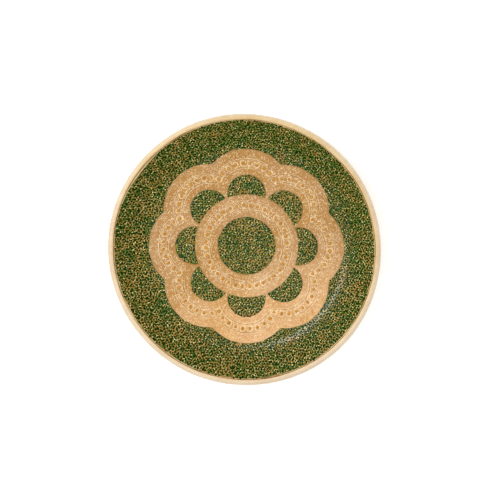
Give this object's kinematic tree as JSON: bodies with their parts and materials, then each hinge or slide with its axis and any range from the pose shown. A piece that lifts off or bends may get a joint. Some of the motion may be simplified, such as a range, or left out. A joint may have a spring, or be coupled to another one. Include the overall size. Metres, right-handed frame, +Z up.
{
  "type": "hand painted ceramic plate",
  "caption": "Round shallow earthenware dish on a foot ring, its glazed face painted as a flower of petals and lobes in green, buff and cream.",
  "frame": {"origin": "centre of the foot ring's resting face", "axes": "+Z up along the plate's axis, out of the painted face; +Y towards the first petal, +X to the right of it"},
  "size_m": [0.2998, 0.2998, 0.042],
  "materials": {
    "fired_clay": "thin clear glaze over buff earthenware",
    "foot_clay": "bare fired clay",
    "cream_glaze": "glossy cream glaze",
    "brown_line": "painted line under clear glaze",
    "green_enamel": "dense small flowers under clear glaze",
    "buff_slip": "mottled slip under clear glaze",
    "ochre_enamel": "raised glossy drops"
  },
  "bodies": {
    "root": {"plate_body": "fired_clay", "foot_ring": "foot_clay", "lip_coat": "cream_glaze", "lip_line": "brown_line", "outer_field": "green_enamel", "lobed_band": "buff_slip", "petal_1": "green_enamel", "petal_2": "green_enamel", "petal_3": "green_enamel", "petal_4": "green_enamel", "petal_5": "green_enamel", "petal_6": "green_enamel", "petal_7": "green_enamel", "petal_8": "green_enamel", "ring_band": "buff_slip", "centre_disc": "green_enamel", "ring_bead_line": "ochre_enamel", "lobe_bead_line": "ochre_enamel"}
  },
  "joints": []
}
